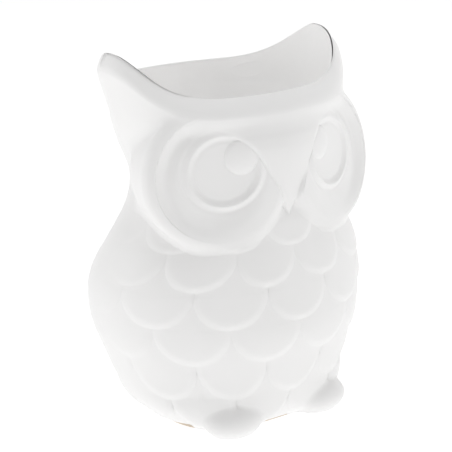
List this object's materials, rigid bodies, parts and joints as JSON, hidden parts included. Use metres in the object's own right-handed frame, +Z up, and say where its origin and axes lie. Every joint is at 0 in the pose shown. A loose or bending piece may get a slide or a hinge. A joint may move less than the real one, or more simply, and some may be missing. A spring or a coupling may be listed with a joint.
{
  "type": "owl pot",
  "caption": "White matte ceramic owl pot, hollow and open at the top between two ears, with round eyes, a brow plate with a beak, feather scales and front feet.",
  "frame": {"origin": "on the table, under the middle of the pot's outline", "axes": "+Z up, the owl looks along -Y and its left side is +X"},
  "size_m": [0.1384, 0.1257, 0.18],
  "materials": {
    "white_ceramic": "satin",
    "bare_clay": "matte"
  },
  "bodies": {
    "root": {"body_shell": "white_ceramic", "brow_beak": "white_ceramic", "face_disc_left": "white_ceramic", "face_disc_right": "white_ceramic", "iris_ring_left": "white_ceramic", "iris_ring_right": "white_ceramic", "iris_left": "white_ceramic", "iris_right": "white_ceramic", "pupil_left": "white_ceramic", "pupil_right": "white_ceramic", "foot_left": "white_ceramic", "foot_right": "white_ceramic", "feather_row1_right_3": "white_ceramic", "feather_row1_right_2": "white_ceramic", "feather_row1_right_1": "white_ceramic", "feather_row1_middle": "white_ceramic", "feather_row1_left_1": "white_ceramic", "feather_row1_left_2": "white_ceramic", "feather_row1_left_3": "white_ceramic", "feather_row2_right_3": "white_ceramic", "feather_row2_right_2": "white_ceramic", "feather_row2_right_1": "white_ceramic", "feather_row2_left_1": "white_ceramic", "feather_row2_left_2": "white_ceramic", "feather_row2_left_3": "white_ceramic", "feather_row3_right_3": "white_ceramic", "feather_row3_right_2": "white_ceramic", "feather_row3_right_1": "white_ceramic", "feather_row3_middle": "white_ceramic", "feather_row3_left_1": "white_ceramic", "feather_row3_left_2": "white_ceramic", "feather_row3_left_3": "white_ceramic", "feather_row4_right_3": "white_ceramic", "feather_row4_right_2": "white_ceramic", "feather_row4_right_1": "white_ceramic", "feather_row4_left_1": "white_ceramic", "feather_row4_left_2": "white_ceramic", "feather_row4_left_3": "white_ceramic", "feather_row5_right_3": "white_ceramic", "feather_row5_right_2": "white_ceramic", "feather_row5_right_1": "white_ceramic", "feather_row5_middle": "white_ceramic", "feather_row5_left_1": "white_ceramic", "feather_row5_left_2": "white_ceramic", "feather_row5_left_3": "white_ceramic", "feather_row6_right_3": "white_ceramic", "feather_row6_right_2": "white_ceramic", "feather_row6_right_1": "white_ceramic", "feather_row6_left_1": "white_ceramic", "feather_row6_left_2": "white_ceramic", "feather_row6_left_3": "white_ceramic", "feather_row1_rear": "white_ceramic", "feather_row2_rear": "white_ceramic", "feather_row3_rear": "white_ceramic", "feather_row4_rear": "white_ceramic", "feather_row5_rear": "white_ceramic", "feather_row6_rear": "white_ceramic", "foot_ring": "bare_clay"}
  },
  "joints": []
}
